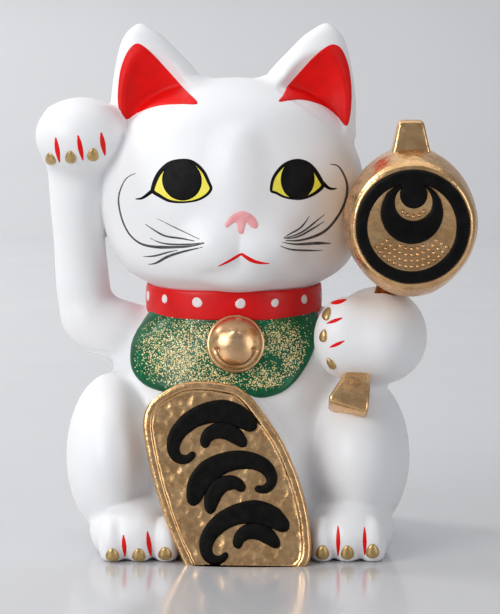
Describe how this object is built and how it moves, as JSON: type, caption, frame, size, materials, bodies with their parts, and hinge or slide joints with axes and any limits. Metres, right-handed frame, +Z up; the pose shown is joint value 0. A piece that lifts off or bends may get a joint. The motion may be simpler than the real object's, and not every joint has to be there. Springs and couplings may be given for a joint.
{
  "type": "beckoning cat figurine",
  "caption": "Seated ceramic beckoning cat with one raised paw, a mallet in the other, collar, bell, bib and an oval coin; hollow money box with a rubber base stopper.",
  "frame": {"origin": "centre of the bounding box, on the floor the figurine stands on", "axes": "+Z up; the cat faces -Y, so its own right (raised) paw is towards -X and the mallet towards +X"},
  "size_m": [0.2038, 0.1502, 0.2418],
  "materials": {
    "white_ceramic": "white matte glaze",
    "gold_lustre": "brushed gold lustre over glaze",
    "gold_paint": "gold paint",
    "copper_gold": "polished copper-gold lustre",
    "black_glaze": "black enamel",
    "black_enamel": "gloss black enamel",
    "red_enamel": "red enamel",
    "collar_red": "red glaze",
    "white_enamel": "white enamel",
    "green_glaze": "gloss green glaze with gold glitter",
    "yellow_enamel": "yellow enamel",
    "pink_enamel": "pink enamel",
    "rubber": "matte, off-white"
  },
  "bodies": {
    "figurine": {"bell": "copper_gold", "bib": "green_glaze", "body_casting": "white_ceramic", "coin_relief": "black_glaze", "coin_slab": "gold_lustre", "collar": "collar_red", "collar_dots": "white_enamel", "grip_paw_claws": "gold_paint", "grip_paw_toe_lines": "red_enamel", "head_casting": "white_ceramic", "left_ear_lining": "red_enamel", "left_eye_iris": "yellow_enamel", "left_eye_pupil": "black_enamel", "left_foot_claws": "gold_paint", "left_foot_toe_lines": "red_enamel", "mallet_arm_casting": "white_ceramic", "mallet_barrel": "gold_lustre", "mallet_beads": "gold_lustre", "mallet_handle": "gold_lustre", "mallet_handle_tip": "gold_lustre", "mallet_roundel": "black_glaze", "mouth_line": "red_enamel", "nose": "pink_enamel", "raised_arm_casting": "white_ceramic", "raised_paw_claws": "gold_paint", "raised_paw_toe_lines": "red_enamel", "right_ear_lining": "red_enamel", "right_eye_iris": "yellow_enamel", "right_eye_pupil": "black_enamel", "right_foot_claws": "gold_paint", "right_foot_toe_lines": "red_enamel"},
    "base_stopper": {"stopper": "rubber"}
  },
  "joints": [
    {"name": "stopper_pull", "type": "slide", "parent": "figurine", "child": "base_stopper", "axis": [0, 0, -1], "range_m": [0, 0.03]}
  ]
}
